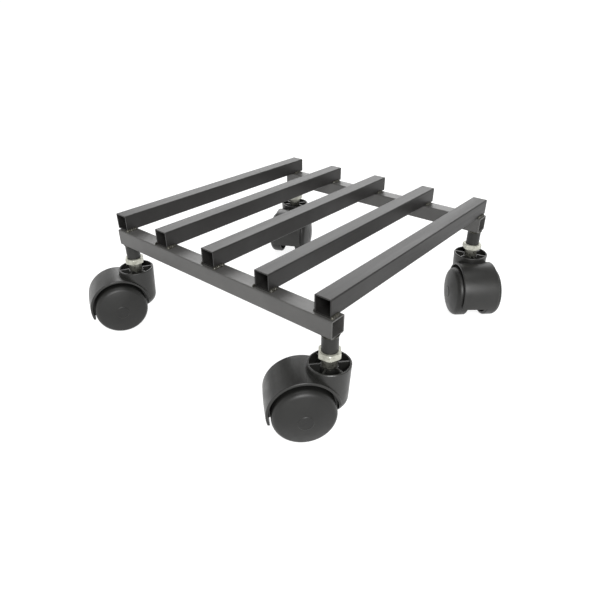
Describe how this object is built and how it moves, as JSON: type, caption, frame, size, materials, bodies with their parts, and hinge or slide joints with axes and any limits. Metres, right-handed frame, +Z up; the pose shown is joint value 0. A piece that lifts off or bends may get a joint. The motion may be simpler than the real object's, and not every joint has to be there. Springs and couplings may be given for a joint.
{
  "type": "wheeled computer case stand",
  "caption": "Low wheeled stand for a computer case: a grille of square steel tube on swivelling twin-wheel castors with lock nuts.",
  "frame": {"origin": "middle of the footprint, on the floor, with the castors as they stand", "axes": "+X along the two rails, +Y along the slats, +Z up"},
  "size_m": [0.3392, 0.3228, 0.1179],
  "materials": {
    "frame_paint": "satin dark gunmetal grey paint",
    "weld_bead": "painted over, glossy and lumpy",
    "nut_zinc": "pale cream zinc plate, satin",
    "stem_zinc": "zinc plate, satin",
    "bright_steel": "bright steel",
    "hood_nylon": "moulded black nylon, satin",
    "wheel_nylon": "moulded black nylon, finely textured",
    "cap_nylon": "moulded black nylon, satin"
  },
  "bodies": {
    "frame": {"front_rail": "frame_paint", "lock_nut_front_left": "nut_zinc", "lock_nut_front_right": "nut_zinc", "lock_nut_rear_left": "nut_zinc", "lock_nut_rear_right": "nut_zinc", "rear_rail": "frame_paint", "slat_1": "frame_paint", "slat_2": "frame_paint", "slat_3": "frame_paint", "slat_4": "frame_paint", "slat_5": "frame_paint", "slat_welds": "weld_bead", "socket_welds": "weld_bead", "stem_clip_front_left": "bright_steel", "stem_clip_front_right": "bright_steel", "stem_clip_rear_left": "bright_steel", "stem_clip_rear_right": "bright_steel", "stem_front_left": "stem_zinc", "stem_front_right": "stem_zinc", "stem_rear_left": "stem_zinc", "stem_rear_right": "stem_zinc", "stem_socket_front_left": "frame_paint", "stem_socket_front_right": "frame_paint", "stem_socket_rear_left": "frame_paint", "stem_socket_rear_right": "frame_paint"},
    "castor_front_right": {"hood_front_right": "hood_nylon", "axle_front_right": "bright_steel", "axle_clips_front_right": "bright_steel"},
    "wheel_front_right_a": {"wheel_front_right_a": "wheel_nylon", "hub_cap_front_right_a": "cap_nylon"},
    "wheel_front_right_b": {"wheel_front_right_b": "wheel_nylon", "hub_cap_front_right_b": "cap_nylon"},
    "castor_front_left": {"hood_front_left": "hood_nylon", "axle_front_left": "bright_steel", "axle_clips_front_left": "bright_steel"},
    "wheel_front_left_a": {"wheel_front_left_a": "wheel_nylon", "hub_cap_front_left_a": "cap_nylon"},
    "wheel_front_left_b": {"wheel_front_left_b": "wheel_nylon", "hub_cap_front_left_b": "cap_nylon"},
    "castor_rear_right": {"hood_rear_right": "hood_nylon", "axle_rear_right": "bright_steel", "axle_clips_rear_right": "bright_steel"},
    "wheel_rear_right_a": {"wheel_rear_right_a": "wheel_nylon", "hub_cap_rear_right_a": "cap_nylon"},
    "wheel_rear_right_b": {"wheel_rear_right_b": "wheel_nylon", "hub_cap_rear_right_b": "cap_nylon"},
    "castor_rear_left": {"hood_rear_left": "hood_nylon", "axle_rear_left": "bright_steel", "axle_clips_rear_left": "bright_steel"},
    "wheel_rear_left_a": {"wheel_rear_left_a": "wheel_nylon", "hub_cap_rear_left_a": "cap_nylon"},
    "wheel_rear_left_b": {"wheel_rear_left_b": "wheel_nylon", "hub_cap_rear_left_b": "cap_nylon"}
  },
  "joints": [
    {"name": "swivel_front_right", "type": "hinge", "parent": "frame", "child": "castor_front_right", "pos_m": [0.12216, -0.10786, 0.0605], "axis": [0, 0, 1], "continuous": true},
    {"name": "roll_front_right_a", "type": "hinge", "parent": "castor_front_right", "child": "wheel_front_right_a", "pos_m": [0.10749, -0.12398, 0.0256], "axis": [0.7396, -0.673, 0], "continuous": true},
    {"name": "roll_front_right_b", "type": "hinge", "parent": "castor_front_right", "child": "wheel_front_right_b", "pos_m": [0.10749, -0.12398, 0.0256], "axis": [0.7396, -0.673, 0], "continuous": true},
    {"name": "swivel_front_left", "type": "hinge", "parent": "frame", "child": "castor_front_left", "pos_m": [-0.12874, -0.10786, 0.0605], "axis": [0, 0, 1], "continuous": true},
    {"name": "roll_front_left_a", "type": "hinge", "parent": "castor_front_left", "child": "wheel_front_left_a", "pos_m": [-0.1387, -0.12725, 0.0256], "axis": [0.8894, -0.4571, 0], "continuous": true},
    {"name": "roll_front_left_b", "type": "hinge", "parent": "castor_front_left", "child": "wheel_front_left_b", "pos_m": [-0.1387, -0.12725, 0.0256], "axis": [0.8894, -0.4571, 0], "continuous": true},
    {"name": "swivel_rear_right", "type": "hinge", "parent": "frame", "child": "castor_rear_right", "pos_m": [0.12216, 0.14414, 0.0605], "axis": [0, 0, 1], "continuous": true},
    {"name": "roll_rear_right_a", "type": "hinge", "parent": "castor_rear_right", "child": "wheel_rear_right_a", "pos_m": [0.13683, 0.12802, 0.0256], "axis": [0.7396, 0.673, 0], "continuous": true},
    {"name": "roll_rear_right_b", "type": "hinge", "parent": "castor_rear_right", "child": "wheel_rear_right_b", "pos_m": [0.13683, 0.12802, 0.0256], "axis": [0.7396, 0.673, 0], "continuous": true},
    {"name": "swivel_rear_left", "type": "hinge", "parent": "frame", "child": "castor_rear_left", "pos_m": [-0.12874, 0.14414, 0.0605], "axis": [0, 0, 1], "continuous": true},
    {"name": "roll_rear_left_a", "type": "hinge", "parent": "castor_rear_left", "child": "wheel_rear_left_a", "pos_m": [-0.11884, 0.12472, 0.0256], "axis": [0.891, 0.454, 0], "continuous": true},
    {"name": "roll_rear_left_b", "type": "hinge", "parent": "castor_rear_left", "child": "wheel_rear_left_b", "pos_m": [-0.11884, 0.12472, 0.0256], "axis": [0.891, 0.454, 0], "continuous": true}
  ]
}
